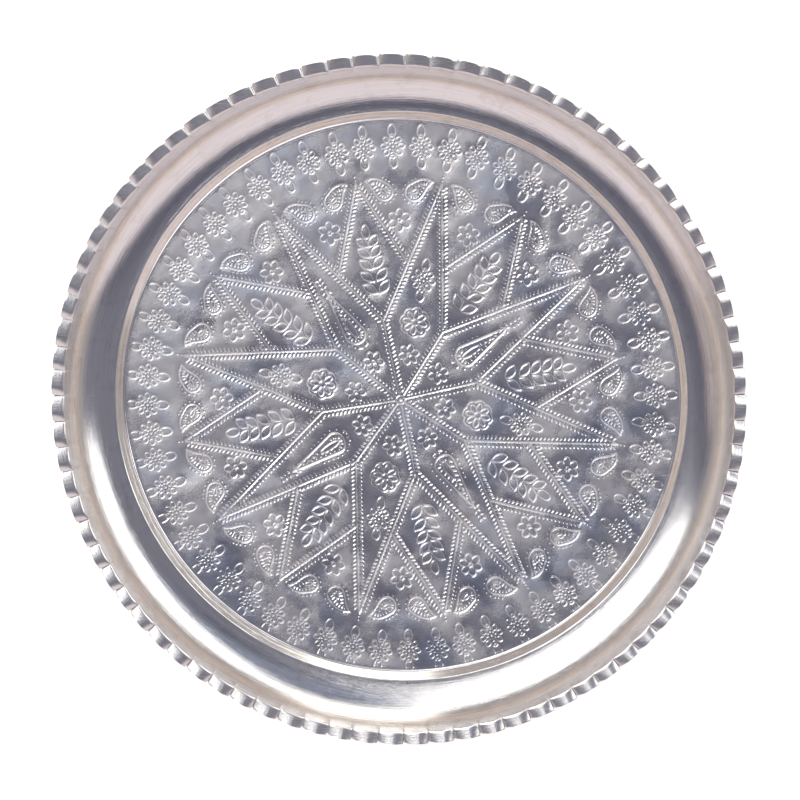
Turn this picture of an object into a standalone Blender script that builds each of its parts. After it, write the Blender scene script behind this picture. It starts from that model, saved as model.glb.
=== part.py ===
"""Round stamped metal offering plate: one sheet, pressed into a sunk flat well, a short
riser, a curved cove and a narrow level lip, which is crimped into overlapping flutes.

Metres, +Z up. The origin is the centre of the well's underside, which the plate rests on.
"""
import math

import bpy

# Driving dimensions
OUTER_RADIUS = 0.150        # widest points of the lip's cut edge
BEND_RADIUS = 0.1447        # where the cove ends and the lip turns outwards
BEND_HEIGHT = 0.0164
EDGE_HEIGHT = 0.0168        # highest points of the lip's cut edge
SHEET = 0.0008              # thickness of the metal
WELL_RADIUS = 0.1199        # flat bottom, out to the foot of the riser
LEDGE_RADIUS = 0.1242       # top of the riser, where the cove starts level
RISER_HEIGHT = 0.0028

# A flute runs clockwise: a wide flat that falls and draws inwards, a step out and down
# at its end, and a ramp up to the next flat. Each corner is (share of the pitch, radial
# inset, drop) at the cut edge.
FLUTES = 83
FLUTE_CORNERS = (
    (0.00, 0.0001, 0.0000),  # start of the flat
    (0.60, 0.0008, 0.0011),  # end of the flat
    (0.66, 0.0000, 0.0013),  # foot of the step
)
BEND_SHARE = 0.35           # how much of the inset and the drop is left at the bend

COVE_STEPS = 4              # straight facets that stand for the cove's arc

COLLECTION = "offering_plate"
NODE = "plate"
METAL_COLOR = (0.70, 0.69, 0.68, 1.0)
METAL_ROUGHNESS = 0.28
TOLERANCE = 0.0001


def clear_scene():
    for item in list(bpy.data.objects):
        bpy.data.objects.remove(item, do_unlink=True)


def cove_height(radius):
    """Height of the sheet's top face on the circular arc from the riser to the bend."""
    base = SHEET + RISER_HEIGHT
    run = BEND_RADIUS - LEDGE_RADIUS
    rise = BEND_HEIGHT - base
    arc_radius = (run * run + rise * rise) / (2.0 * rise)
    reach = radius - LEDGE_RADIUS
    return base + arc_radius - math.sqrt(arc_radius * arc_radius - reach * reach)


def profile_points():
    """Top face of the sheet, as (radius, height), from the axis to the cut edge."""
    points = [(0.0, SHEET), (WELL_RADIUS, SHEET)]
    for step in range(COVE_STEPS + 1):
        # Steps are closer together where the arc is steep.
        share = math.sin(0.5 * math.pi * step / COVE_STEPS)
        radius = LEDGE_RADIUS + (BEND_RADIUS - LEDGE_RADIUS) * share
        points.append((radius, cove_height(radius)))
    points.append((OUTER_RADIUS, EDGE_HEIGHT))
    return points


def modified_mesh(item):
    """The object's mesh with its modifiers applied."""
    depsgraph = bpy.context.evaluated_depsgraph_get()
    return bpy.data.meshes.new_from_object(item.evaluated_get(depsgraph))


def turned_sheet():
    """Screw the profile round +Z and return the open surface as a mesh."""
    points = profile_points()
    outline = bpy.data.meshes.new("profile")
    edges = [(i, i + 1) for i in range(len(points) - 1)]
    outline.from_pydata([(radius, 0.0, height) for radius, height in points], edges, [])
    guide = bpy.data.objects.new("profile", outline)
    bpy.context.scene.collection.objects.link(guide)
    screw = guide.modifiers.new("turn", "SCREW")
    screw.axis = "Z"
    screw.steps = FLUTES * len(FLUTE_CORNERS)
    screw.render_steps = screw.steps
    screw.use_merge_vertices = True
    screw.merge_threshold = 0.00001
    mesh = modified_mesh(guide)
    bpy.data.objects.remove(guide, do_unlink=True)
    bpy.data.meshes.remove(outline)
    return mesh


def flute_corner(angle):
    """The flute that a column of the lip belongs to, and its corner in that flute."""
    column = round(-angle / (2.0 * math.pi) * FLUTES * len(FLUTE_CORNERS))
    return divmod(column, len(FLUTE_CORNERS))


def crimp_lip(mesh):
    """Press the lip's columns into flutes, fully at the cut edge and less at the bend."""
    middle = 0.5 * (BEND_RADIUS + OUTER_RADIUS)
    for vertex in mesh.vertices:
        radius = math.hypot(vertex.co.x, vertex.co.y)
        if radius < BEND_RADIUS - TOLERANCE:
            continue
        flute, corner = flute_corner(math.atan2(vertex.co.y, vertex.co.x))
        share, inset, drop = FLUTE_CORNERS[corner]
        amount = 1.0 if radius > middle else BEND_SHARE
        angle = -(flute + share) * 2.0 * math.pi / FLUTES
        vertex.co.x = (radius - inset * amount) * math.cos(angle)
        vertex.co.y = (radius - inset * amount) * math.sin(angle)
        vertex.co.z -= drop * amount


def thickened(mesh, collection):
    """Give the open surface its thickness, downwards, and keep its underside level."""
    blank = bpy.data.objects.new("blank", mesh)
    collection.objects.link(blank)
    thicken = blank.modifiers.new("sheet", "SOLIDIFY")
    thicken.thickness = SHEET
    thicken.offset = -1.0
    solid = modified_mesh(blank)
    bpy.data.objects.remove(blank, do_unlink=True)
    bpy.data.meshes.remove(mesh)
    for vertex in solid.vertices:
        if vertex.co.z < TOLERANCE:
            vertex.co.z = 0.0
    return solid


def metal():
    material = bpy.data.materials.new("plate_metal")
    material.use_nodes = True
    shader = material.node_tree.nodes["Principled BSDF"]
    shader.inputs["Base Color"].default_value = METAL_COLOR
    shader.inputs["Metallic"].default_value = 1.0
    shader.inputs["Roughness"].default_value = METAL_ROUGHNESS
    return material


def make_plate(collection):
    sheet = turned_sheet()
    crimp_lip(sheet)
    mesh = thickened(sheet, collection)
    mesh.name = NODE
    mesh.materials.clear()
    mesh.materials.append(metal())
    mesh.shade_smooth()
    mesh.set_sharp_from_angle(angle=math.radians(25.0))
    plate = bpy.data.objects.new(NODE, mesh)
    collection.objects.link(plate)
    return plate


def main():
    clear_scene()
    collection = bpy.data.collections.new(COLLECTION)
    bpy.context.scene.collection.children.link(collection)
    make_plate(collection)


main()
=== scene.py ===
"""Finished looks of the stamped metal offering plate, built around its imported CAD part.

One continuous sheet replaces the plain CAD plate: a sunk well with a hand-punched star,
a riser, a curved cove and a crimped lip. Lengths are in millimetres until the mesh is made.
"""

import math

import bpy
import numpy as np
from mathutils import Matrix, Vector


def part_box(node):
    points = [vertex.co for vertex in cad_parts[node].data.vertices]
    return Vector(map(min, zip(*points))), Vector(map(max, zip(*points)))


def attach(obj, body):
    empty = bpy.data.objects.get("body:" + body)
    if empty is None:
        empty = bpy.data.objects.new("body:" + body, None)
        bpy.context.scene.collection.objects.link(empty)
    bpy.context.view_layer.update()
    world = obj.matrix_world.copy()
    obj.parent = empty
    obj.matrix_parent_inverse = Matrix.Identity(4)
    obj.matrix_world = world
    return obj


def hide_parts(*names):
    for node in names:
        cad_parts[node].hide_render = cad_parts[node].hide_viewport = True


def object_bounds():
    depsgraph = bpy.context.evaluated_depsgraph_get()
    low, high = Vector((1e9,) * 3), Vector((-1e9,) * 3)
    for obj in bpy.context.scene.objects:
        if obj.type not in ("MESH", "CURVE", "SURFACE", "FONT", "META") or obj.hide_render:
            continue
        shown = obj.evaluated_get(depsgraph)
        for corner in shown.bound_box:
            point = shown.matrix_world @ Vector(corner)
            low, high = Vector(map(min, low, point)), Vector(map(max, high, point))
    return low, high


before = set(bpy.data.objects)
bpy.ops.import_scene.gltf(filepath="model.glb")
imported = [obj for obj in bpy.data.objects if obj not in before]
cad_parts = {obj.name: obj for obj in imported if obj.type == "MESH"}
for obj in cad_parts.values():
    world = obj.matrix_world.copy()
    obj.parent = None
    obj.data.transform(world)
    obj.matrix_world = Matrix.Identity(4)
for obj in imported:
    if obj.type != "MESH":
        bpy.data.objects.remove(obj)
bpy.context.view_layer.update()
low_corner, high_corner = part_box("plate")

MM = 0.001

# The sheet, from the axis outwards. The lip's size is read from the CAD plate.
SHEET = 0.8                 # thickness
WELL_RADIUS = 119.9
LEDGE_RADIUS = 124.2        # top of the riser, where the cove starts level
RISER_HEIGHT = 2.8
FOOT_RIDGE = 0.20           # height of the thin ridge pressed along the riser's foot
LIP_HEIGHT = high_corner[2] / MM
LIP_RISE = 0.55             # from the bend to the cut edge
EDGE_ALLOWANCE = 0.2        # kept free for the rounding of the cut edge
LIP_RADIUS = (high_corner[0] - low_corner[0]) / 2.0 / MM - EDGE_ALLOWANCE
BEND_RADIUS = 144.7         # where the cove ends and the lip begins
BEND_HEIGHT = LIP_HEIGHT - LIP_RISE
BEND_START = 0.36           # the bend is rounded from this far inside it
BEND_REACH = 0.9            # to this far outside
EDGE_ROUNDING = 0.10        # how far the middle of the cut edge stands out
UNDER_LIFT = 0.16           # gap between the well's underside and the table, outside the marks
UNDER_BULGE = 1.6           # how far a mark stands out below, as a share of its softened depth

# Crimps. A flute runs clockwise, and the rows are (share of the pitch, inset, drop).
FLUTES = 83
FLUTE_SHAPE = (
    (0.00, 0.00, 0.00),
    (0.15, 0.03, 0.08),
    (0.30, 0.15, 0.32),
    (0.45, 0.38, 0.68),
    (0.56, 0.62, 1.02),
    (0.59, 0.75, 1.30),     # the end of the flat curls down
    (0.60, 0.85, 2.40),     # slit
    (0.62, 0.85, 2.40),
    (0.632, 0.00, 1.45),    # foot of the ramp, standing proud
    (0.70, 0.00, 0.90),
    (0.80, 0.00, 0.42),
    (0.90, 0.00, 0.12),
    (1.00, 0.00, 0.00),
)
FLUTE_VARIATION = (0.8, 1.2)    # range of one flute's inset and drop, against the rows above
SLIT_SPREAD = 0.02          # how far slits stray from their places, as a share of the pitch
BEND_SHARE = 0.42           # how much of a crimp is left at the bend
CRIMP_START = 12.5          # height in the cove where the crimps begin to show

# Mesh density
WELL_RINGS = 415            # ring k has 6k points, so the last has 30 for each flute
UNDER_RINGS = 83
COLUMNS = 6 * WELL_RINGS
FLUTE_COLUMNS = COLUMNS // FLUTES
FLAT_COLUMNS, SLIT_COLUMNS = 13, 8      # of a flute's columns, and the others are on its ramp
CROWDED = (0.56, 0.65)      # stretch of the pitch round the slit where columns are close together
CROWDING_REACH = 17.0       # how far out from the riser the columns take to crowd
RISER_ROWS, COVE_ROWS, BEND_ROWS, LIP_ROWS = 48, 26, 9, 8
SHARP_ANGLE = 55.0          # edges that turn more than this are shaded as creases

# Punched pattern, about its own centre, which is a little off the plate's axis
CELL = 0.12                 # spacing of the grid that the depths are worked out on
PATTERN_CENTRE = (-0.35, -1.4)
PUNCH_DEPTH = 0.165
LINE_HALF_WIDTH = 0.70
LOOP_HALF_WIDTH = 0.44
FINE_HALF_WIDTH = 0.42      # daisies' petals, teardrops' cores, and dots inside an outline
COMMA_HALF_WIDTH = 0.50
TEARDROP_HALF_WIDTH = 0.60
TICK_HALF_WIDTH = 0.52
TICK_HALF_LENGTH = 0.56
TICK_PITCH = 1.75
TICK_OFFSET = 1.66
TICK_SLANT = 32.0
TICK_DULLING = 0.45         # ticks and dots stay shinier than the other marks
SINK_SHARE = 2.0            # how far the sheet sinks round a mark, as a share of its depth
SINK_REACH, BACK_REACH = 9, 5       # how softly it sinks and bulges, as a blur's reach in cells
UNEVENNESS = (              # (size of the dents, as a blur's reach in cells; their slope in degrees)
    (14, 0.30),
    (34, 0.95),
    (80, 1.15),
)
SEED = 11
FAR = 99.0                  # stands for no outline near


# ---------------------------------------------------------------- small helpers

def smooth(value):
    """Smooth step from 0 to 1 as value goes from 0 to 1."""
    t = np.clip(value, 0.0, 1.0)
    return t * t * (3.0 - 2.0 * t)


def polar(radius, degrees):
    angle = math.radians(degrees)
    return np.array((radius * math.cos(angle), radius * math.sin(angle)))


def blurred(grid, cells):
    """The grid after three box blurs that reach this many cells each way."""
    width = 2 * cells + 1
    for _ in range(3):
        for axis in (0, 1):
            padding = [(0, 0), (0, 0)]
            padding[axis] = (cells + 1, cells)
            sums = np.cumsum(np.pad(grid, padding, mode="edge"), axis=axis, dtype=np.float64)
            upper = np.take(sums, range(width, sums.shape[axis]), axis=axis)
            lower = np.take(sums, range(sums.shape[axis] - width), axis=axis)
            grid = ((upper - lower) / width).astype(np.float32)
    return grid


# ---------------------------------------------------------------- distances to punch outlines

def fold(u, v, count):
    """Turn each point about the origin into the sector of the nearest of count petals."""
    step = 2.0 * math.pi / count
    angle = np.arctan2(v, u)
    angle = angle - step * np.round(angle / step)
    radius = np.hypot(u, v)
    return radius * np.cos(angle), radius * np.sin(angle)


def to_oval(u, v, middle, half_u, half_v):
    """Distance to the outline of an ellipse whose middle is on the u axis."""
    u = u - middle
    level = np.hypot(u / half_u, v / half_v) + 1e-6
    slope = np.hypot(u / half_u ** 2, v / half_v ** 2) / level + 1e-6
    return np.abs(level - 1.0) / slope


def to_bar(u, v, start, end):
    """Distance to the straight piece from start to end."""
    du, dv = end[0] - start[0], end[1] - start[1]
    share = ((u - start[0]) * du + (v - start[1]) * dv) / (du * du + dv * dv + 1e-9)
    share = np.clip(share, 0.0, 1.0)
    return np.hypot(u - start[0] - share * du, v - start[1] - share * dv)


def to_chain(u, v, points):
    """Distance to a line through the points."""
    best = np.full(u.shape, FAR)
    for start, end in zip(points[:-1], points[1:]):
        best = np.minimum(best, to_bar(u, v, start, end))
    return best


def to_leaf(u, v, half_length, half_width):
    """Distance to a pointed leaf's outline, with its tips on the u axis."""
    share = np.clip(u / half_length, -1.0, 1.0)
    gap = np.abs(np.abs(v) - half_width * (1.0 - share * share))
    lean = np.sqrt(1.0 + (2.0 * half_width * share / half_length) ** 2)
    return np.maximum(gap / lean, np.abs(u) - half_length)


def groove(distance, half_width, depth=PUNCH_DEPTH):
    """Depth of a round-bottomed groove along an outline."""
    t = np.minimum(distance / half_width, 1.0)
    return depth * (1.0 - t * t) ** 2


def trench(distance, half_width, depth=PUNCH_DEPTH):
    """Depth of a groove with nearly straight walls and a narrow rounded bottom."""
    bottom, curve = 0.15, 1.1
    t = np.minimum(np.hypot(distance / half_width, bottom), 1.0)
    return depth * (1.0 - t) ** curve


def dimple(u, v, middle, half_u, half_v):
    """Depth of a solid oval mark whose middle is on the u axis."""
    level = np.minimum(((u - middle) / half_u) ** 2 + (v / half_v) ** 2, 1.0)
    return PUNCH_DEPTH * (1.0 - level) ** 2


# ---------------------------------------------------------------- punches

# An oval is (how far its middle is from the punch's, half its length, half its width).
LOOPED_PETAL = (0.57, 0.43, 0.31)       # as shares of how far the flower reaches
DAISY_PETAL = (3.85, 1.30, 1.05)
DAISY_DOT = (1.75, 0.75, 0.65)
DAISY_MIDDLE = (0.0, 0.85, 0.85)
DAISY_OVALS = ((-6.6, 2.75, 1.75), (6.75, 2.7, 1.65))
DAISY_REACH = 11.0
ROSETTE_PETAL = (3.3, 2.0, 1.08)
ROSETTE_SCALLOP = (3.9, 2.6)            # a circle's middle and radius
ROSETTE_INSIDE = 5.0                    # no scallop is drawn within this
ROSETTE_REACH = 8.0
ROSETTE_HALF_WIDTH = 0.40
CENTRE_DIMPLE = (1.2, 1.2 * PUNCH_DEPTH)        # radius and depth
CENTRE_RING = (1.9, 0.5)                # radius and half width


def six_loops(u, v, outer):
    """Flower of six round loops. outer is how far the loops reach."""
    x, y = fold(u, v, 6)
    return groove(to_oval(x, y, *[share * outer for share in LOOPED_PETAL]), LOOP_HALF_WIDTH)


def daisy(u, v):
    """Flower of eight looped petals, eight dots and a middle."""
    x, y = fold(u, v, 8)
    petals = groove(to_oval(x, y, *DAISY_PETAL), FINE_HALF_WIDTH)
    dots = dimple(x, y, *DAISY_DOT)
    middle = dimple(u, v, *DAISY_MIDDLE)
    return np.maximum(np.maximum(petals, dots), middle)


def daisy_with_ovals(u, v):
    """The daisy between two loops that lie along u."""
    inner, outer = (to_oval(u, v, *oval) for oval in DAISY_OVALS)
    ovals = groove(np.minimum(inner, outer), LOOP_HALF_WIDTH)
    return np.maximum(daisy(u, v), ovals)


def rosette(u, v):
    """Eight petals inside a scalloped outline."""
    x, y = fold(u, v, 8)
    middle, radius = ROSETTE_SCALLOP
    scallops = np.abs(np.hypot(x - middle, y) - radius)
    scallops = np.where(x > ROSETTE_INSIDE, scallops, FAR)
    petals = to_oval(x, y, *ROSETTE_PETAL)
    return groove(np.minimum(scallops, petals), ROSETTE_HALF_WIDTH)


def centre_mark(u, v):
    """A dimple inside a ring, where the spokes meet."""
    away = np.hypot(u, v)
    radius, half_width = CENTRE_RING
    return np.maximum(groove(away, *CENTRE_DIMPLE), groove(np.abs(away - radius), half_width))


class Relief:
    """Depth of the punched pattern on a square grid over the well."""

    def __init__(self):
        self.reach = WELL_RADIUS + 2.0
        self.count = int(2.0 * self.reach / CELL) + 1
        self.cut = np.zeros((self.count, self.count), np.float32)
        self.worked = np.zeros((self.count, self.count), np.float32)
        self.random = np.random.default_rng(SEED)

    def press(self, place, degrees, reach, punch, force=1.0, dulling=1.0):
        """Press a punch, given as depth(u, v), within reach of a place in the pattern."""
        x, y = place[0] + PATTERN_CENTRE[0], place[1] + PATTERN_CENTRE[1]
        first = [max(int((c - reach + self.reach) / CELL), 0) for c in (x, y)]
        last = [min(int((c + reach + self.reach) / CELL) + 2, self.count) for c in (x, y)]
        across = np.arange(first[0], last[0]) * CELL - self.reach - x
        along = np.arange(first[1], last[1]) * CELL - self.reach - y
        dx, dy = np.meshgrid(across, along)
        cosine, sine = math.cos(math.radians(degrees)), math.sin(math.radians(degrees))
        depth = force * punch(dx * cosine + dy * sine, dy * cosine - dx * sine)
        window = (slice(first[1], last[1]), slice(first[0], last[0]))
        self.cut[window] = np.maximum(self.cut[window], depth)
        self.worked[window] = np.maximum(self.worked[window], depth * dulling / PUNCH_DEPTH)

    def press_by_hand(self, place, degrees, reach, punch, slip=0.3, turn=4.0, force=1.0,
                      dulling=1.0):
        """The same, with the small errors of a hand-held punch, of up to about slip and turn."""
        place = place + self.random.normal(0.0, 0.5 * slip, 2)
        degrees = degrees + self.random.normal(0.0, 0.5 * turn)
        self.press(place, degrees, reach, punch, force * self.random.uniform(0.85, 1.1), dulling)

    def tick(self, place, degrees, half_length=TICK_HALF_LENGTH):
        """One short oblong punch mark."""
        def mark(u, v):
            return groove(to_bar(u, v, (-half_length, 0.0), (half_length, 0.0)), TICK_HALF_WIDTH)
        self.press_by_hand(place, degrees, 1.6, mark, slip=0.12, turn=8.0, dulling=TICK_DULLING)

    def dot(self, place, radius=0.5):
        """One small round punch mark."""
        def mark(u, v):
            return groove(np.hypot(u, v), radius)
        self.press_by_hand(place, 0.0, 1.0, mark, slip=0.12, dulling=TICK_DULLING)

    def line(self, start, end):
        """A straight groove with slanted ticks along both sides."""
        run = end - start
        length = float(np.hypot(*run))
        heading = math.degrees(math.atan2(run[1], run[0]))
        middle = 0.5 * (start + end)

        def channel(u, v):
            return trench(to_bar(u, v, (-length / 2, 0.0), (length / 2, 0.0)), LINE_HALF_WIDTH)
        self.press(middle, heading, 0.5 * length + 1.0, channel)
        forward, sideways = run / length, np.array((-run[1], run[0])) / length
        first, spare = 1.2, 2.0         # to the first tick, and free of ticks in all
        count = int((length - spare) / TICK_PITCH)
        for side in (1, -1):
            for k in range(count + 1):
                place = start + forward * (first + k * TICK_PITCH) + sideways * side * TICK_OFFSET
                self.tick(place, heading + side * (90.0 - TICK_SLANT))

    def sample(self, grid, x, y):
        """A grid's values at points in the plate's frame."""
        column = (x + self.reach) / CELL
        row = (y + self.reach) / CELL
        i, j = column.astype(int), row.astype(int)
        a, b = column - i, row - j
        return ((grid[j, i] * (1 - a) + grid[j, i + 1] * a) * (1 - b)
                + (grid[j + 1, i] * (1 - a) + grid[j + 1, i + 1] * a) * b)

    def finish(self):
        """Turn the depths into the sheet's face, which also sinks softly round the marks."""
        axis = np.arange(self.count) * CELL - self.reach
        x, y = np.meshgrid(axis, axis)
        inset = (WELL_RADIUS - np.hypot(x, y)).astype(np.float32)
        margin, fade_length, dents_length = 0.4, 1.2, 16.0
        fade, slow_fade = smooth((inset - margin) / fade_length), smooth(inset / dents_length)
        sink = self.cut + SINK_SHARE * blurred(self.cut, SINK_REACH)
        self.face = dents(self.count, self.random) * slow_fade - sink * fade
        self.back = blurred(self.cut, BACK_REACH) * fade
        self.worked = np.clip(self.worked, 0.0, 1.0) * fade


def dents(count, random):
    """The slight unevenness that punching leaves in the well."""
    total = np.zeros((count, count), np.float32)
    for reach, slope in UNEVENNESS:
        rough = blurred(random.standard_normal((count, count), dtype=np.float32), reach)
        steepness = math.degrees(float(np.std(np.diff(rough, axis=0))) / CELL)
        total += rough * (slope / steepness)
    return total


# ---------------------------------------------------------------- the pattern

# Headings are in degrees, and a motif's radius is where its middle lies.
FIRST_SPOKE = 11.25
SPOKE_PITCH = 45.0
SPOKE_START = 2.5
CORNER_RADIUS = 34.0
CORNER_SHIFT = np.array((-0.5, 1.1))    # the inner corners sit off the pattern's centre
STRAY_CORNER, STRAY_TURN = 3, -3.5      # and one was struck some degrees out of line
TIP_RADIUS = 95.5
TIP_DOTS = (1.3, 2.9)       # how far outside a tip its dots are
LEG_SHARE = 0.4215          # where a secondary tip's legs meet the sides of the kites

OUTER_FLOWERS = (16, 78.0, 0.0, 5.0)    # number, radius, first heading, reach of the loops
INNER_FLOWERS = (8, 20.0, 34.75, 4.5)
FLOWER_TURN = 15.0          # a flower's own turn is left to chance, up to this
ROSETTE_RADIUS = 34.3
DAISY_RADIUS = 53.0
FIRST_ROSETTE = 79.0        # heading of a rosette and of the daisy beyond it
FIRST_TEARDROP = 34.2

BORDER_FLOWERS = 56
BORDER_PHASE = 1.4
BORDER_RADIUS = 110.1
BORDER_FORCE = 0.95
WEAK_BORDER, WEAKENING = 265.0, 0.3     # the border is struck most lightly round here

LEAF_FEET = (47.4, 53.0, 58.4, 63.4, 68.0)      # where the leaf pairs leave the stem's line
LEAF_LEAN = 47.0
LEAF_HALF_LENGTH, LEAF_SHORTENING = 3.55, 0.12  # each pair is a little shorter than the last
LEAF_HALF_WIDTH = 1.75
END_LEAF_RADIUS = 74.3
END_LEAF = (0.0, 2.9, 1.7)

# Commas come in mirrored pairs. Places are (radius, distance to the side) from a pair's heading.
COMMA_BODY = (90.2, 6.4)
COMMA_TIP = (94.4, 14.1)
COMMA_CORE = (0.5, 1.5, 0.75)
COMMA_PITCH = 1.6           # of the ticks outside its outline and the dots inside
COMMA_TICKS, COMMA_DOTS = 1.65, -1.4    # how far they are from the outline
COMMA_DOTTED = 4.6          # the narrow tail beyond this has no dots

TEARDROP_APEX = 56.7
TEARDROP_MIDDLE = 43.5
TEARDROP_BOTTOM = (34.2, 4.1, 4.4)      # an oval's middle, half length and half width
TEARDROP_CORE = (37.2 - TEARDROP_MIDDLE, 4.7, 1.25)
TEARDROP_PITCH = 2.15
TEARDROP_TICKS, TEARDROP_DOTS = 1.6, -1.7
TEARDROP_SLANTED = 34.0     # beyond this the ticks are slanted
TEARDROP_DOTTED = 44.0      # and beyond this there is one row of dots along its middle
TEARDROP_ROW = (42.9, 45.0, 47.2, 49.2)
TEARDROP_TAIL = (58.6, 60.6, 62.5)      # pairs of ticks beyond the apex
TEARDROP_FOOT = 27.9        # and one pair at the other end


def press_star(relief):
    """Spokes, the eight kites, and the eight points between them."""
    spokes = [FIRST_SPOKE + SPOKE_PITCH * k for k in range(8)]
    turns = [spoke + (STRAY_TURN if k == STRAY_CORNER else 0.0) for k, spoke in enumerate(spokes)]
    corners = [polar(CORNER_RADIUS, turn) + CORNER_SHIFT for turn in turns]
    tips = [polar(TIP_RADIUS, spoke + 0.5 * SPOKE_PITCH) for spoke in spokes]
    relief.press((0.0, 0.0), 0.0, 3.0, centre_mark)
    for k, spoke in enumerate(spokes):
        corner, tip, last_tip = corners[k], tips[k], tips[k - 1]
        relief.line(corner * SPOKE_START / np.hypot(*corner), corner)
        relief.line(corner, tip)
        relief.line(corner, last_tip)
        between = polar(TIP_RADIUS, spoke)
        for kite_tip in (tip, last_tip):
            foot = corner + (kite_tip - corner) * LEG_SHARE
            relief.line(foot, between)
        for point in (tip, between):
            for offset in TIP_DOTS:
                relief.dot(point * (1.0 + offset / TIP_RADIUS))


def press_loop_flowers(relief, number, radius, first, outer):
    """A ring of six-looped flowers. outer is how far the loops reach."""
    for k in range(number):
        heading = first + 360.0 / number * k
        turn = relief.random.uniform(-FLOWER_TURN, FLOWER_TURN)
        relief.press_by_hand(polar(radius, heading), heading + turn, outer + 2.0,
                             lambda u, v: six_loops(u, v, outer))


def press_flowers(relief):
    press_loop_flowers(relief, *OUTER_FLOWERS)
    press_loop_flowers(relief, *INNER_FLOWERS)
    for k in range(4):
        heading = FIRST_ROSETTE + 90.0 * k
        relief.press_by_hand(polar(ROSETTE_RADIUS, heading), heading, ROSETTE_REACH, rosette)
        relief.press_by_hand(polar(DAISY_RADIUS, heading), heading, DAISY_REACH, daisy_with_ovals)


def press_border(relief):
    """The ring of daisies just inside the riser."""
    for k in range(BORDER_FLOWERS):
        heading = BORDER_PHASE + 360.0 / BORDER_FLOWERS * k
        weak = max(math.cos(math.radians(heading - WEAK_BORDER)), 0.0)
        relief.press_by_hand(polar(BORDER_RADIUS, heading), heading, DAISY_REACH, daisy_with_ovals,
                             slip=0.5, force=BORDER_FORCE - WEAKENING * weak)


def press_sprig(relief, degrees):
    """Leaf pairs that point outwards along a stem's line, and one leaf at its end."""
    forward, sideways = polar(1.0, degrees), polar(1.0, degrees + 90.0)
    inwards, aside = 0.3, 0.35          # from a foot on the line to a leaf's own foot
    for k, foot in enumerate(LEAF_FEET):
        half = LEAF_HALF_LENGTH - LEAF_SHORTENING * k

        def leaf(u, v):
            return groove(to_leaf(u, v, half, LEAF_HALF_WIDTH), LOOP_HALF_WIDTH)
        for side in (1, -1):
            heading = degrees + side * LEAF_LEAN
            place = forward * (foot - inwards) + sideways * side * aside + polar(half, heading)
            relief.press_by_hand(place, heading, 5.0, leaf)
    relief.press_by_hand(forward * END_LEAF_RADIUS, degrees, 5.0,
                         lambda u, v: groove(to_oval(u, v, *END_LEAF), LOOP_HALF_WIDTH))


def outline_walk(points, pitch):
    """Places and outward headings (degrees) along a clockwise outline, a pitch apart."""
    points = np.asarray(points)
    steps = np.hypot(*np.diff(points, axis=0).T)
    travelled = np.concatenate(([0.0], np.cumsum(steps)))
    for distance in np.arange(0.5 * pitch, travelled[-1], pitch):
        k = min(int(np.searchsorted(travelled, distance)) - 1, len(steps) - 1)
        along = (points[k + 1] - points[k]) / steps[k]
        place = points[k] + along * (distance - travelled[k])
        yield place, math.degrees(math.atan2(along[0], -along[1]))


def comma_outline():
    """Comma, clockwise from its tail tip at +u: round body at the origin, bulging to +v."""
    length, body, bulge = 9.4, 3.65, 1.1
    along = np.linspace(1.0, 0.0, 13)
    half_turn = np.linspace(0.5 * math.pi, 1.5 * math.pi, 15)[1:-1]
    half = body * (1.0 - along ** 1.8) ** 1.05
    middle = 6.75 * bulge * along ** 2 * (1.0 - along)      # bulge is its highest value
    full_side = [(length * s, m + h) for s, m, h in zip(along, middle, half)]
    back = [(body * math.cos(t), body * math.sin(t)) for t in half_turn]
    lean_side = [(length * s, m - h) for s, m, h in zip(along, middle, half)][::-1]
    return full_side + back + lean_side


def press_comma(relief, degrees, hand):
    """One comma of the ring outside the flowers. hand is +1 or -1, for the two mirrored ones."""
    body, tip = (polar(radius, degrees) + polar(aside, degrees - 90.0 * hand)
                 for radius, aside in (COMMA_BODY, COMMA_TIP))
    run = tip - body
    heading = math.degrees(math.atan2(run[1], run[0]))
    outline = comma_outline()
    place = body + relief.random.normal(0.0, 0.15, 2)

    def shell(u, v):
        return groove(to_chain(u, v * hand, outline), COMMA_HALF_WIDTH)

    def core(u, v):
        return groove(to_oval(u, v * hand - 0.1, *COMMA_CORE), 0.40)
    relief.press(place, heading, 11.0, shell)
    relief.press(place, heading, 4.0, core)
    along, across = polar(1.0, heading), polar(1.0, heading + 90.0) * hand
    for (u, v), outward in outline_walk(outline, COMMA_PITCH):
        normal = polar(1.0, outward)

        def beside(offset):
            return place + along * (u + normal[0] * offset) + across * (v + normal[1] * offset)
        relief.tick(beside(COMMA_TICKS), heading + outward * hand)
        if u < COMMA_DOTTED:
            relief.dot(beside(COMMA_DOTS), FINE_HALF_WIDTH)


def teardrop_outline():
    """Clockwise from the apex, with the axis along +u from the plate's centre."""
    turn = np.linspace(0.5 * math.pi, 1.5 * math.pi, 17)
    middle, half_length, half_width = TEARDROP_BOTTOM
    bottom = [(middle + half_length * math.cos(t), half_width * math.sin(t)) for t in turn]
    return [(TEARDROP_APEX, 0.0)] + bottom + [(TEARDROP_APEX, 0.0)]


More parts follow.
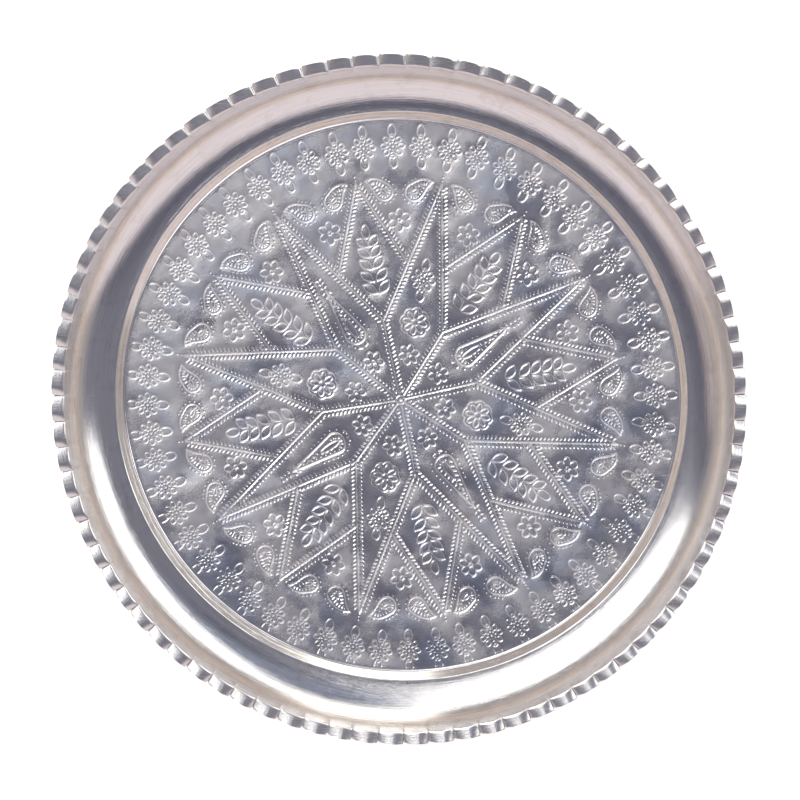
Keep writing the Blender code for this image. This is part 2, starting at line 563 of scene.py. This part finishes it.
def press_teardrop(relief, degrees):
    """One long drop that points outwards, with ticks outside it and dots inside."""
    outline = teardrop_outline()
    forward, sideways = polar(1.0, degrees), polar(1.0, degrees + 90.0)

    def shell(u, v):
        return groove(to_chain(u + TEARDROP_MIDDLE, v, outline), TEARDROP_HALF_WIDTH)

    def core(u, v):
        return groove(to_oval(u, v, *TEARDROP_CORE), FINE_HALF_WIDTH)
    relief.press(forward * TEARDROP_MIDDLE, degrees, 15.0, shell)
    relief.press(forward * TEARDROP_MIDDLE, degrees, 15.0, core)
    for (u, v), outward in outline_walk(outline, TEARDROP_PITCH):
        normal = polar(1.0, outward)

        def beside(offset):
            return forward * (u + normal[0] * offset) + sideways * (v + normal[1] * offset)
        slant = 20.0 * np.sign(v) if u > TEARDROP_SLANTED else 0.0
        relief.tick(beside(TEARDROP_TICKS), degrees + outward - slant, 0.5)
        if u < TEARDROP_DOTTED:
            relief.dot(beside(TEARDROP_DOTS), FINE_HALF_WIDTH)
    for radius in TEARDROP_ROW:
        relief.dot(forward * radius, 0.4)
    for radius in TEARDROP_TAIL:
        for side in (1, -1):
            relief.tick(forward * radius + sideways * side * 0.9, degrees + side * 60.0, 0.4)
    for side in (1, -1):
        relief.tick(forward * TEARDROP_FOOT + sideways * side * 1.6, degrees + side * 70.0, 0.8)


def punched_well():
    relief = Relief()
    press_star(relief)
    press_flowers(relief)
    press_border(relief)
    for k in range(8):
        press_sprig(relief, FIRST_SPOKE + SPOKE_PITCH * k)
    for k in range(16):
        press_comma(relief, 22.5 * k, 1)
        press_comma(relief, 22.5 * k, -1)
    for k in range(4):
        press_teardrop(relief, FIRST_TEARDROP + 90.0 * k)
    relief.finish()
    return relief


# ---------------------------------------------------------------- the sheet's cross-section

def bell(t, middle, width):
    return np.exp(-((t - middle) / width) ** 2)


def riser_rows():
    """(radius, height) up the riser: a ridge at its foot and a faint line half way."""
    t = np.linspace(0.0, 1.0, RISER_ROWS + 1)
    slope = smooth((t - 0.10) / 0.12) * smooth((1.0 - t) / 0.14)
    slope = slope * (1.0 - 0.12 * bell(t, 0.50, 0.05))
    share = np.concatenate(([0.0], np.cumsum(slope[1:] + slope[:-1])))
    radius = WELL_RADIUS + (LEDGE_RADIUS - WELL_RADIUS) * t
    ridge = FOOT_RIDGE * bell(t, 0.11, 0.055)
    ridge[0] = 0.0
    return list(zip(radius, SHEET + RISER_HEIGHT * share / share[-1] + ridge))


def cove_height(radius):
    """Height of the sheet's face on the circular arc from the riser to the bend."""
    base = SHEET + RISER_HEIGHT
    run, rise = BEND_RADIUS - LEDGE_RADIUS, BEND_HEIGHT - base
    arc_radius = (run * run + rise * rise) / (2.0 * rise)
    reach = radius - LEDGE_RADIUS
    return base + arc_radius - math.sqrt(arc_radius * arc_radius - reach * reach)


def cross_section():
    """(radius, height) of the sheet's face from the well's edge to the lip's cut edge."""
    rows = riser_rows()
    cove_reach = BEND_RADIUS - BEND_START - LEDGE_RADIUS
    for s in np.linspace(0.0, 0.5 * math.pi, COVE_ROWS + 1)[1:]:
        radius = LEDGE_RADIUS + cove_reach * math.sin(s)
        rows.append((radius, cove_height(radius)))
    slope = (LIP_HEIGHT - BEND_HEIGHT) / (LIP_RADIUS - BEND_RADIUS)
    bend_end = (BEND_RADIUS + BEND_REACH, BEND_HEIGHT + slope * BEND_REACH)
    first, corner = rows[-1], (BEND_RADIUS, BEND_HEIGHT)
    for t in np.linspace(0.0, 1.0, BEND_ROWS + 1)[1:]:
        weights = ((1 - t) ** 2, 2 * t * (1 - t), t * t)
        rows.append(tuple(sum(w * p[i] for w, p in zip(weights, (first, corner, bend_end)))
                          for i in (0, 1)))
    for t in np.linspace(0.0, 1.0, LIP_ROWS + 1)[1:]:
        radius = bend_end[0] + (LIP_RADIUS - bend_end[0]) * t
        rows.append((radius, BEND_HEIGHT + slope * (radius - BEND_RADIUS)))
    return np.array(rows)


def under_section(rows):
    """The face's rows moved down through the sheet, from the cut edge back to the well."""
    along = np.gradient(rows, axis=0)
    along /= np.hypot(along[:, 0], along[:, 1])[:, None]
    under = rows + SHEET * np.stack((along[:, 1], -along[:, 0]), axis=1)
    under[:, 1] = np.maximum(under[:, 1], 0.0)
    return under[::-1]


def cut_edge(face_end, under_start):
    """Two rows that round the cut edge a little."""
    outward = np.array((EDGE_ROUNDING, 0.0))
    return np.array([face_end * 0.8 + under_start * 0.2 + outward,
                     face_end * 0.2 + under_start * 0.8 + outward])


# ---------------------------------------------------------------- crimps

def crimp_amount(rows):
    """How much of the crimp each row takes."""
    radius, height = rows[:, 0], rows[:, 1]
    on_cove = BEND_SHARE * smooth((height - CRIMP_START) / (BEND_HEIGHT - CRIMP_START))
    lip = np.clip((radius - BEND_RADIUS) / (LIP_RADIUS - BEND_RADIUS), 0.0, 1.0)
    return np.where(radius < BEND_RADIUS, on_cove, BEND_SHARE + (1.0 - BEND_SHARE) * lip)


def flute_columns():
    """For each column: its share of the flute when evenly spaced, and when crowded at the slit."""
    even = np.arange(FLUTE_COLUMNS) / FLUTE_COLUMNS
    ramp_columns = FLUTE_COLUMNS - FLAT_COLUMNS - SLIT_COLUMNS
    flat = np.linspace(0.0, CROWDED[0], FLAT_COLUMNS, endpoint=False)
    slit = np.linspace(*CROWDED, SLIT_COLUMNS, endpoint=False)
    ramp = np.linspace(CROWDED[1], 1.0, ramp_columns, endpoint=False)
    return even, np.concatenate((flat, slit, ramp))


def rim_points(rows, random):
    """Points of the rim, row by row, with the columns running clockwise."""
    even, crowded = flute_columns()
    shares = np.array([row[0] for row in FLUTE_SHAPE])
    inset = np.interp(crowded, shares, [row[1] for row in FLUTE_SHAPE])
    drop = np.interp(crowded, shares, [row[2] for row in FLUTE_SHAPE])
    uneven = random.uniform(*FLUTE_VARIATION, (FLUTES, 2))
    shift = random.normal(0.0, SLIT_SPREAD, FLUTES)
    wander = np.sin(math.pi * crowded)
    inset = (uneven[:, :1] * inset).ravel()
    drop = (uneven[:, 1:] * drop).ravel()
    crowded_turn = (np.arange(FLUTES)[:, None] + crowded + shift[:, None] * wander).ravel()
    even_turn = (np.arange(FLUTES)[:, None] + even).ravel()
    amount = crimp_amount(rows)[:, None]
    crowding = smooth((rows[:, 0] - LEDGE_RADIUS) / CROWDING_REACH)[:, None]
    turn = even_turn * (1.0 - crowding) + crowded_turn * crowding
    angle = -turn * 2.0 * math.pi / FLUTES
    radius = rows[:, :1] - inset * amount
    height = rows[:, 1:] - drop * amount
    return np.stack((radius * np.cos(angle), radius * np.sin(angle), height), axis=2)


# ---------------------------------------------------------------- mesh assembly

def disc_points(rings, radius):
    """x and y of a disc's points: the centre, then ring k with 6k points, clockwise."""
    ring = np.repeat(np.arange(1, rings + 1), 6 * np.arange(1, rings + 1))
    first = 3 * ring * (ring - 1)
    angle = -2.0 * math.pi * (np.arange(ring.size) - first) / (6.0 * ring)
    reach = radius * ring / rings
    return (np.concatenate(([0.0], reach * np.cos(angle))),
            np.concatenate(([0.0], reach * np.sin(angle))))


def disc_triangles(rings):
    """Triangles of a disc that face up."""
    faces = []
    for k in range(rings):
        inner_count, outer_count = max(6 * k, 1), 6 * (k + 1)
        inner_first = 3 * k * (k - 1) + 1 if k else 0
        outer_first = 3 * k * (k + 1) + 1
        sextant = np.arange(6)[:, None]
        j = np.arange(k + 1)[None, :]
        inner = inner_first + (sextant * k + j) % inner_count
        outer = outer_first + (sextant * (k + 1) + j) % outer_count
        outer_next = outer_first + (sextant * (k + 1) + j + 1) % outer_count
        faces.append(np.stack((inner, outer_next, outer), axis=2).reshape(-1, 3))
        if k:
            inner, outer_next = inner[:, :-1], outer_next[:, :-1]
            inner_next = inner_first + (sextant * k + j[:, :-1] + 1) % inner_count
            faces.append(np.stack((inner, inner_next, outer_next), axis=2).reshape(-1, 3))
    return np.concatenate(faces)


def band_triangles(first, second, count):
    """Triangles between two equal rings, given by the number of their first point."""
    j = np.arange(count)
    after = (j + 1) % count
    a, b, c, d = first + j, first + after, second + after, second + j
    return np.concatenate((np.stack((a, b, c), axis=1), np.stack((a, c, d), axis=1)))


def fan_triangles(fine, fine_count, coarse, coarse_count):
    """Triangles between a fine ring and a coarse one with a whole number of times fewer points."""
    ratio = fine_count // coarse_count
    faces = []
    for step in range(ratio):
        j = np.arange(coarse_count)
        a = fine + j * ratio + step
        b = fine + (j * ratio + step + 1) % fine_count
        faces.append(np.stack((a, b, coarse + j), axis=1))
    j = np.arange(coarse_count)
    after = (j + 1) % coarse_count
    faces.append(np.stack((fine + after * ratio, coarse + after, coarse + j), axis=1))
    return np.concatenate(faces)


def under_height(relief, x, y):
    """Height of the well's underside, where the punch marks stand out a little."""
    column = ((x + relief.reach) / CELL).astype(int)
    row = ((y + relief.reach) / CELL).astype(int)
    margin, fade_length = 2.0, 3.0
    inside = smooth((WELL_RADIUS - margin - np.hypot(x, y)) / fade_length)
    bulge = relief.back[row, column] * UNDER_BULGE * inside
    return np.maximum(UNDER_LIFT - (bulge + UNDER_LIFT * (1.0 - inside)), 0.0)


def sheet_points(relief):
    """Points of the well, of the rim row by row, and of the underside."""
    x, y = disc_points(WELL_RINGS, WELL_RADIUS)
    well = np.stack((x, y, SHEET + relief.sample(relief.face, x, y)), axis=1)
    face_rows = cross_section()
    under_rows = under_section(face_rows)
    rows = np.concatenate((face_rows[1:], cut_edge(face_rows[-1], under_rows[0]), under_rows))
    rim = rim_points(rows, relief.random)
    x, y = disc_points(UNDER_RINGS, WELL_RADIUS - 1.0)
    under = np.stack((x, y, under_height(relief, x, y)), axis=1)
    return well, rim, under


def sheet_triangles(well_points, rim_rows, under_points):
    """Triangles that join the parts' points, in that order, into one closed surface."""
    well_edge = well_points - COLUMNS
    last_rim = well_edge + rim_rows * COLUMNS
    under_first = last_rim + COLUMNS
    under_columns = 6 * UNDER_RINGS
    under_edge = under_first + under_points - under_columns
    triangles = [disc_triangles(WELL_RINGS)]
    for first in range(well_edge, last_rim, COLUMNS):
        triangles.append(band_triangles(first, first + COLUMNS, COLUMNS))
    triangles.append(fan_triangles(last_rim, COLUMNS, under_edge, under_columns))
    triangles.append(disc_triangles(UNDER_RINGS)[:, ::-1] + under_first)
    return np.concatenate(triangles)


def plate_object():
    relief = punched_well()
    well, rim, under = sheet_points(relief)
    points = np.concatenate((well, rim.reshape(-1, 3), under))
    triangles = sheet_triangles(len(well), len(rim), len(under))
    worked = np.zeros(len(points), np.float32)
    worked[:len(well)] = relief.sample(relief.worked, well[:, 0], well[:, 1])
    mesh = bpy.data.meshes.new("stamped_plate")
    mesh.vertices.add(len(points))
    mesh.vertices.foreach_set("co", (points * MM).astype(np.float32).ravel())
    mesh.loops.add(triangles.size)
    mesh.loops.foreach_set("vertex_index", triangles.astype(np.int32).ravel())
    mesh.polygons.add(len(triangles))
    mesh.polygons.foreach_set("loop_start", np.arange(0, triangles.size, 3, dtype=np.int32))
    mesh.update(calc_edges=True)
    marks = mesh.attributes.new("worked", "FLOAT", "POINT")
    marks.data.foreach_set("value", worked)
    mesh.validate()
    mesh.shade_smooth()
    mesh.set_sharp_from_angle(angle=math.radians(SHARP_ANGLE))
    plate = bpy.data.objects.new("stamped_plate", mesh)
    bpy.context.scene.collection.objects.link(plate)
    mesh.materials.append(plate_metal())
    return plate


# ---------------------------------------------------------------- materials

class Tree:
    """Short names for building a node tree."""

    def __init__(self, tree):
        self.tree = tree
        tree.nodes.clear()

    def add(self, kind, inputs=(), **settings):
        node = self.tree.nodes.new(kind)
        for name, value in settings.items():
            setattr(node, name, value)
        for key, value in dict(inputs).items():
            if isinstance(value, bpy.types.NodeSocket):
                self.tree.links.new(value, node.inputs[key])
            else:
                node.inputs[key].default_value = value
        return node

    def math(self, operation, a, b=0.0, c=0.0):
        node = self.add("ShaderNodeMath", {0: a, 1: b, 2: c}, operation=operation)
        return node.outputs[0]

    def window(self, value, low, high, soft):
        """1 where value lies between low and high, with soft edges."""
        rise = self.step(value, low, soft)
        fall = self.step(value, high, soft)
        return self.math("SUBTRACT", rise, fall)

    def step(self, value, edge, soft):
        """0 below an edge and 1 above it, over twice the softness."""
        node = self.add("ShaderNodeMapRange", {"Value": value, "From Min": edge - soft,
                                               "From Max": edge + soft},
                        interpolation_type="SMOOTHSTEP")
        return node.outputs[0]

    def noise(self, vector, scale, detail=2.0, roughness=0.5):
        node = self.add("ShaderNodeTexNoise", {"Vector": vector, "Scale": scale, "Detail": detail,
                                               "Roughness": roughness})
        return node.outputs["Fac"]

    def length(self, x, y):
        """Distance of (x, y) from the origin."""
        squares = self.math("ADD", self.math("MULTIPLY", x, x), self.math("MULTIPLY", y, y))
        return self.math("SQRT", squares)

    def mix(self, share, a, b):
        """Colour that goes from a to b as share goes from 0 to 1."""
        node = self.add("ShaderNodeMix", data_type="RGBA")
        for socket, value in ((node.inputs[0], share), (node.inputs[6], a), (node.inputs[7], b)):
            if isinstance(value, bpy.types.NodeSocket):
                self.tree.links.new(value, socket)
            else:
                socket.default_value = value
        return node.outputs[2]


# Colours of the metal, and the share that each takes where it is strongest
METAL = (0.87, 0.855, 0.85, 1.0)
BLUING, BLUING_SHARE = (0.60, 0.68, 0.84, 1.0), 0.55
TARNISH, TARNISH_SHARE = (0.66, 0.61, 0.57, 1.0), 0.35
STREAK, STREAK_SHARE = (0.62, 0.62, 0.66, 1.0), 0.45
SCRATCH, SCRATCH_SHARE = (0.9, 0.9, 0.9, 1.0), 0.12
FRESH_METAL_AND_HIGHLIGHT, FRESH_AND_HIGHLIGHT_SHARE = (0.97, 0.96, 0.95, 1.0), 0.8     # where a punch has struck: paler fresh metal, and partly a painted highlight that brightens the marks' outlines

# Roughness of the clean metal, and what is added to it
METAL_ROUGHNESS = 0.10
HAZE_ROUGHNESS = 0.20       # in the dull patches
WORKED_ROUGHNESS = 0.20     # where a punch has struck
LIP_ROUGHNESS = 0.13
TURNING_ROUGHNESS = 0.06
SCRATCH_ROUGHNESS = 0.10
HAZE_SLANT = 8.0            # the dull patches crowd towards the back left
CENTRE_POLISH = 0.05        # and are fewer round the middle

# Depths of what the bump nodes add, in metres
TURNING_DEPTH = 0.00005
SCRATCH_DEPTH = 0.0000015
GRAIN_DEPTH = 0.00004

# Each noise is (scale, detail, roughness)
TURNING_NOISE = (2.6, 4.0, 0.7)
CLOUD_NOISE = (34.0, 4.0, 0.6)
STAIN_NOISE = (120.0, 5.0, 0.65)
HAZE_NOISE = (45.0, 4.0, 0.6)
GRAIN_NOISE = (900.0, 3.0, 0.7)


class MetalLayers:
    """What colour, roughness and bump share: places, and masks and patterns from 0 to 1."""

    def __init__(self, tree):
        self.place = tree.add("ShaderNodeTexCoord").outputs["Object"]
        self.x, self.y, height = tree.add("ShaderNodeSeparateXYZ", {0: self.place}).outputs[:3]
        self.radius = tree.length(self.x, self.y)
        self.outside_well = tree.step(self.radius, 0.1195, 0.002)
        self.in_well = tree.math("SUBTRACT", 1.0, self.outside_well)
        self.on_lip = tree.step(self.radius, 0.1448, 0.0008)
        turn = tree.math("ARCTAN2", self.y, self.x)
        rings = tree.add("ShaderNodeCombineXYZ", {0: tree.math("MULTIPLY", self.radius, 1.0 / MM),
                                                  1: tree.math("MULTIPLY", turn, 1.6),
                                                  2: tree.math("MULTIPLY", height, 1.0 / MM)})
        self.turning = tree.noise(rings.outputs[0], *TURNING_NOISE)
        self.scratches = scratch_layer(tree, self.place)
        self.worked = tree.add("ShaderNodeAttribute", attribute_name="worked").outputs["Fac"]


def metal_color(tree, layers):
    """Bright metal with bluing in the well, tarnish, dark turned streaks, and punch marks made paler,
    partly as fresh metal and partly as a painted highlight.
    """
    cloud = tree.noise(layers.place, *CLOUD_NOISE)
    stain = tree.noise(layers.place, *STAIN_NOISE)
    bluing = tree.math("MULTIPLY", tree.step(cloud, 0.56, 0.10), BLUING_SHARE)
    color = tree.mix(tree.math("MULTIPLY", bluing, layers.in_well), METAL, BLUING)
    tarnish = tree.math("MULTIPLY", tree.step(stain, 0.60, 0.10), TARNISH_SHARE)
    color = tree.mix(tarnish, color, TARNISH)
    streaks = tree.math("MULTIPLY", tree.step(layers.turning, 0.58, 0.08), layers.outside_well)
    color = tree.mix(tree.math("MULTIPLY", streaks, STREAK_SHARE), color, STREAK)
    color = tree.mix(tree.math("MULTIPLY", layers.scratches, SCRATCH_SHARE), color, SCRATCH)
    # the punch marks are painted paler: partly fresh metal, partly a painted highlight along their
    # outlines
    return tree.mix(tree.math("MULTIPLY", layers.worked, FRESH_AND_HIGHLIGHT_SHARE), color, FRESH_METAL_AND_HIGHLIGHT)


def dull_patches(tree, layers):
    """Hazy patches of the well, more at the back left and fewer round the middle."""
    slant = tree.math("MULTIPLY", tree.math("SUBTRACT", layers.y, layers.x), layers.radius)
    slant = tree.math("MULTIPLY", tree.math("MAXIMUM", slant, 0.0), HAZE_SLANT)
    slant = tree.math("MULTIPLY_ADD", tree.step(layers.radius, 0.055, 0.035), CENTRE_POLISH, slant)
    haze = tree.math("ADD", tree.noise(layers.place, *HAZE_NOISE), slant)
    return tree.math("MULTIPLY", tree.step(haze, 0.53, 0.10), layers.in_well)


def metal_roughness(tree, layers):
    rough = METAL_ROUGHNESS
    for share, added in ((dull_patches(tree, layers), HAZE_ROUGHNESS),
                         (layers.worked, WORKED_ROUGHNESS),
                         (layers.on_lip, LIP_ROUGHNESS),
                         (tree.math("MULTIPLY", layers.turning, layers.outside_well), TURNING_ROUGHNESS),
                         (layers.scratches, SCRATCH_ROUGHNESS)):
        rough = tree.math("MULTIPLY_ADD", share, added, rough)
    return rough


def metal_bump(tree, layers):
    """Turning lines, fainter in the well, with scratches and a fine grain over them."""
    turning_share = tree.math("MULTIPLY_ADD", layers.outside_well, 0.75, 0.25)
    lines = tree.math("MULTIPLY", layers.turning, turning_share)
    grain = tree.math("MULTIPLY", layers.in_well, tree.noise(layers.place, *GRAIN_NOISE))
    bump = tree.add("ShaderNodeBump", {"Strength": 1.0, "Distance": TURNING_DEPTH,
                                       "Height": lines})
    for depth, height in ((SCRATCH_DEPTH, layers.scratches), (GRAIN_DEPTH, grain)):
        bump = tree.add("ShaderNodeBump", {"Strength": 1.0, "Distance": depth, "Height": height,
                                           "Normal": bump.outputs[0]})
    return bump.outputs[0]


def plate_metal():
    """Spun and polished aluminium."""
    material = bpy.data.materials.new("spun_metal")
    material.use_nodes = True
    tree = Tree(material.node_tree)
    layers = MetalLayers(tree)
    shader = tree.add("ShaderNodeBsdfPrincipled", {"Base Color": metal_color(tree, layers),
                                                   "Metallic": 1.0,
                                                   "Roughness": metal_roughness(tree, layers),
                                                   "Normal": metal_bump(tree, layers)})
    tree.add("ShaderNodeOutputMaterial", {"Surface": shader.outputs[0]})
    return material


def scratch_layer(tree, place):
    """Thin straight scratches in a few directions."""
    layers = []
    for heading, shift in ((17.0, 0.0), (74.0, 3.1), (128.0, 6.7)):
        turned = tree.add("ShaderNodeMapping", {"Vector": place, "Location": (shift, 0.0, 0.0),
                                                "Rotation": (0.0, 0.0, math.radians(heading)),
                                                "Scale": (60.0, 2600.0, 1.0)}).outputs[0]
        layers.append(tree.step(tree.noise(turned, 1.0, 1.0), 0.76, 0.05))
    return tree.math("MAXIMUM", tree.math("MAXIMUM", layers[0], layers[1]), layers[2])


# ---------------------------------------------------------------- studio

# What stands round the plate is laid out on a sky chart: x and y are degrees off +Z, towards
# +X and +Y, and tilt is the whole angle off +Z.
WIDE = 200.0                # past every edge of the chart
TOP = -9.0                  # a tilt range from here takes in straight up, softness and all
PANELS = (
    # (range of x + a * y, a, range of y + b * x, b, tilt range, softness, colour)
    ((-6.0, 38.0), 0.35, (12.0, 70.0), 0.0, (TOP, 58.0), 5.0, (0.25, 0.27, 0.35)),    # cool wall
    ((-WIDE, WIDE), 0.0, (-34.0, -13.0), 0.3, (TOP, 60.0), 3.0, (0.13, 0.13, 0.17)),  # dark wall
    ((-WIDE, -34.0), 0.0, (-WIDE, -6.0), 0.0, (47.0, WIDE), 3.0, (0.52, 0.43, 0.42)),  # side wall
    ((-WIDE, WIDE), 0.0, (-WIDE, WIDE), 0.0, (61.0, WIDE), 5.0, (0.40, 0.37, 0.36)),   # far wall
    ((-54.0, -9.0), 0.0, (-6.5, 90.0), 0.31, (TOP, 56.0), 2.5, (2.45, 2.42, 2.39)),   # left softbox
    ((35.0, WIDE), 0.35, (-1.0, 90.0), 0.0, (TOP, 60.0), 2.5, (2.25, 2.22, 2.19)),    # right softbox
    ((-15.0, 20.0), 0.0, (0.0, WIDE), 0.0, (53.0, WIDE), 5.0, (2.00, 1.93, 1.78)),     # backdrop
    ((-WIDE, WIDE), 0.0, (-WIDE, -33.0), 0.0, (TOP, WIDE), 3.0, (0.84, 0.75, 0.77)),  # pale table
    ((-WIDE, WIDE), 0.0, (-WIDE, WIDE), 0.0, (79.0, WIDE), 5.0, (0.70, 0.55, 0.46)),   # horizon
)
OVERHEAD = (0.205, 0.205, 0.25, 1.0)
CAMERA_SPOT = (5.8, 8.5, 5.0, 3.0, (0.07, 0.075, 0.11, 1.0))    # x, y, reach, softness, colour
SEEN_BACKGROUND = (0.96, 0.96, 0.96, 1.0)
FLOOR_SIZE = 12.0
FLOOR_GAP = 0.0001          # under the plate, so that the two faces don't meet
FLOOR_COLOR = (0.92, 0.92, 0.92, 1.0)
FLOOR_GLOW = 0.5


def sky_chart(tree):
    """x, y and tilt, in degrees, of the direction that is looked up."""
    direction = tree.add("ShaderNodeTexCoord").outputs["Generated"]
    x, y, z = tree.add("ShaderNodeSeparateXYZ", {0: direction}).outputs[:3]
    tilt = tree.math("MULTIPLY", tree.math("ARCCOSINE", z), math.degrees(1.0))
    level = tree.math("MAXIMUM", tree.length(x, y), 0.0001)
    scale = tree.math("DIVIDE", tilt, level)
    return tree.math("MULTIPLY", x, scale), tree.math("MULTIPLY", y, scale), tilt


def studio_world():
    """The overhead with the panels laid over it in their order, and the camera's dark spot."""
    world = bpy.data.worlds.new("studio")
    world.use_nodes = True
    tree = Tree(world.node_tree)
    x, y, tilt = sky_chart(tree)
    color = OVERHEAD
    for x_range, x_lean, y_range, y_lean, tilt_range, soft, tint in PANELS:
        across = tree.window(tree.math("MULTIPLY_ADD", y, x_lean, x), *x_range, soft)
        along = tree.window(tree.math("MULTIPLY_ADD", x, y_lean, y), *y_range, soft)
        share = tree.math("MULTIPLY", across, along)
        share = tree.math("MULTIPLY", share, tree.window(tilt, *tilt_range, soft))
        color = tree.mix(share, color, tint + (1.0,))
    spot_x, spot_y, reach, soft, tint = CAMERA_SPOT
    off_x, off_y = tree.math("SUBTRACT", x, spot_x), tree.math("SUBTRACT", y, spot_y)
    outside_spot = tree.step(tree.length(off_x, off_y), reach, soft)
    color = tree.mix(tree.math("SUBTRACT", 1.0, outside_spot), color, tint)
    seen = tree.add("ShaderNodeLightPath").outputs["Is Camera Ray"]
    color = tree.mix(seen, color, SEEN_BACKGROUND)
    background = tree.add("ShaderNodeBackground", {"Color": color, "Strength": 1.0})
    tree.add("ShaderNodeOutputWorld", {"Surface": background.outputs[0]})
    bpy.context.scene.world = world


def studio_floor():
    """A large pale light table under the plate."""
    mesh = bpy.data.meshes.new("floor")
    half = 0.5 * FLOOR_SIZE
    corners = [(-half, -half, 0.0), (half, -half, 0.0), (half, half, 0.0), (-half, half, 0.0)]
    mesh.from_pydata(corners, [], [(0, 1, 2, 3)])
    floor = bpy.data.objects.new("floor", mesh)
    floor.location.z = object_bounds()[0][2] - FLOOR_GAP
    bpy.context.scene.collection.objects.link(floor)
    material = bpy.data.materials.new("pale_floor")
    material.use_nodes = True
    tree = Tree(material.node_tree)
    shader = tree.add("ShaderNodeBsdfPrincipled", {"Base Color": FLOOR_COLOR, "Roughness": 0.9,
                                                   "Emission Color": (1.0, 1.0, 1.0, 1.0),
                                                   "Emission Strength": FLOOR_GLOW})
    tree.add("ShaderNodeOutputMaterial", {"Surface": shader.outputs[0]})
    mesh.materials.append(material)


# Camera, in degrees and metres: where it stands round the plate, how far it leans off
# the plate's axis, and where the plate's middle falls in its view.
CAMERA_HEADING = 56.0
CAMERA_TILT = 10.3
CAMERA_DISTANCE = 3.0
VIEW_WIDTH = 0.3448
VIEW_SHIFT = (-0.00039, -0.00157)
SENSOR = 36.0


def studio_camera():
    heading, tilt = math.radians(CAMERA_HEADING), math.radians(CAMERA_TILT)
    toward = Vector((math.sin(tilt) * math.cos(heading), math.sin(tilt) * math.sin(heading),
                     math.cos(tilt)))
    near = Vector((math.cos(tilt) * math.cos(heading), math.cos(tilt) * math.sin(heading),
                   -math.sin(tilt)))
    across = Vector((-math.sin(heading), math.cos(heading), 0.0))
    right = math.cos(heading) * near - math.sin(heading) * across
    up = math.sin(heading) * near + math.cos(heading) * across
    aim = Vector((0.0, 0.0, SHEET * MM)) + right * VIEW_SHIFT[0] + up * VIEW_SHIFT[1]
    data = bpy.data.cameras.new("camera")
    data.sensor_width = SENSOR
    data.lens = SENSOR * CAMERA_DISTANCE / VIEW_WIDTH
    data.clip_end = 50.0
    camera = bpy.data.objects.new("camera", data)
    turn = Matrix((right, up, toward)).transposed().to_4x4()
    camera.matrix_world = Matrix.Translation(aim + toward * CAMERA_DISTANCE) @ turn
    bpy.context.scene.collection.objects.link(camera)
    bpy.context.scene.camera = camera


def main():
    plate = plate_object()
    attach(plate, "root")
    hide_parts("plate")
    studio_floor()
    studio_world()
    studio_camera()
    bpy.context.scene.view_settings.view_transform = "Standard"


main()
